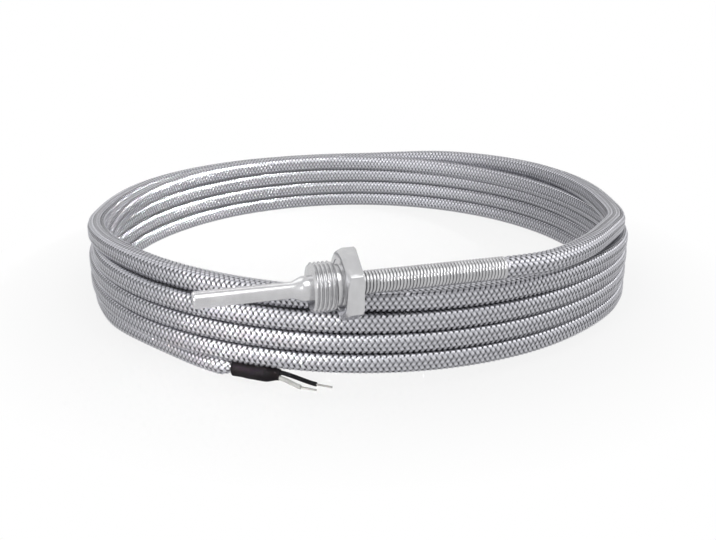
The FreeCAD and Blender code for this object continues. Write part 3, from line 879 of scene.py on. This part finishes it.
def pale_floor():
    """The floor's material: grey under the lamps, and mostly its own white to the rays that show it."""
    made = bpy.data.materials.new("pale_floor")
    made.use_nodes = True
    nodes, links = made.node_tree.nodes, made.node_tree.links
    nodes.clear()
    out = nodes.new("ShaderNodeOutputMaterial")
    mix = nodes.new("ShaderNodeMixShader")
    diffuse = node_of(nodes, "ShaderNodeBsdfDiffuse", Color=(FLOOR_GREY, FLOOR_GREY, FLOOR_GREY, 1))
    glow = node_of(nodes, "ShaderNodeEmission", Color=(1, 1, 1, 1), Strength=1.0)
    place = nodes.new("ShaderNodeNewGeometry")
    off_middle = nodes.new("ShaderNodeVectorMath")
    off_middle.operation = "DISTANCE"
    off_middle.inputs[1].default_value = FLOOR_MIDDLE
    links.new(place.outputs["Position"], off_middle.inputs[0])
    white = ranged(nodes, links, off_middle.outputs["Value"], FLOOR_WHITE, FLOOR_NEAR_FAR)
    share = computed(nodes, links, "MULTIPLY", background_rays(nodes, links), white)
    links.new(share, mix.inputs["Fac"])
    links.new(diffuse.outputs["BSDF"], mix.inputs[1])
    links.new(glow.outputs["Emission"], mix.inputs[2])
    links.new(mix.outputs["Shader"], out.inputs["Surface"])
    return made


def studio_floor():
    """A plain pale floor that turns white towards the camera and keeps the shadow."""
    half = FLOOR_HALF_SIZE
    corners = [(-half, -half, FLOOR_Z), (half, -half, FLOOR_Z), (half, half, FLOOR_Z), (-half, half, FLOOR_Z)]
    mesh = mesh_from("floor", corners, [(0, 1, 2, 3)])
    mesh.materials.append(pale_floor())
    floor = bpy.data.objects.new("floor", mesh)
    bpy.context.scene.collection.objects.link(floor)


def studio_world():
    """White behind the object and in its metal, and a soft even light on it."""
    world = bpy.data.worlds.new("studio")
    bpy.context.scene.world = world
    world.use_nodes = True
    nodes, links = world.node_tree.nodes, world.node_tree.links
    back = nodes["Background"]
    back.inputs["Color"].default_value = (1, 1, 1, 1)
    place = nodes.new("ShaderNodeTexCoord")
    split = nodes.new("ShaderNodeSeparateXYZ")
    links.new(place.outputs["Generated"], split.inputs["Vector"])
    level = nodes.new("ShaderNodeMix")
    level.data_type = "FLOAT"
    level.inputs["B"].default_value = 1.0
    links.new(ranged(nodes, links, split.outputs["Z"], SKY_LEVELS, SKY_SPAN), level.inputs["A"])
    links.new(background_rays(nodes, links), level.inputs["Factor"])
    links.new(level.outputs["Result"], back.inputs["Strength"])


def facing(name, data, place, way):
    """A lamp or a camera at its place, turned to look along a way."""
    made = bpy.data.objects.new(name, data)
    made.location = place
    made.rotation_mode = "QUATERNION"
    made.rotation_quaternion = way.to_track_quat("-Z", "Y")
    bpy.context.scene.collection.objects.link(made)
    return made


def soft_light(name, place, aim, size, power, spread_deg=180.0):
    """A square soft box, with a grid on it where its beam is narrow."""
    data = bpy.data.lights.new(name, "AREA")
    data.shape = "SQUARE"
    data.size = size
    data.energy = power
    data.spread = math.radians(spread_deg)
    facing(name, data, place, aim - place)


def photo_camera():
    """The photograph's camera."""
    data = bpy.data.cameras.new("camera")
    data.lens = LENS_MM
    data.sensor_width = SENSOR_MM
    data.shift_x = CAMERA_SHIFT_X
    data.clip_start = CAMERA_CLIP_START
    azimuth, elevation = math.radians(CAMERA_AZIMUTH_DEG), math.radians(CAMERA_ELEVATION_DEG)
    back = Vector((math.sin(azimuth) * math.cos(elevation), -math.cos(azimuth) * math.cos(elevation),
                   math.sin(elevation)))
    bpy.context.scene.camera = facing("camera", data, CAMERA_TARGET + back * CAMERA_DISTANCE, -back)


photo_camera()
studio_world()
for lamp in LAMPS:
    soft_light(**lamp)
studio_floor()

protection_tube()
screw_fitting()
kink_spring()
cable_core, cable_braids = cable()
end_pieces = [shrink_sleeve()]
end_pieces += lead("black_lead_cover", BLACK_LEAD, BLACK_COVER, "black_lead")
end_pieces += lead("white_lead_cover", WHITE_LEAD, WHITE_COVER, "white_lead")
dress_inner_nodes()

bpy.context.scene.view_settings.view_transform = "Standard"
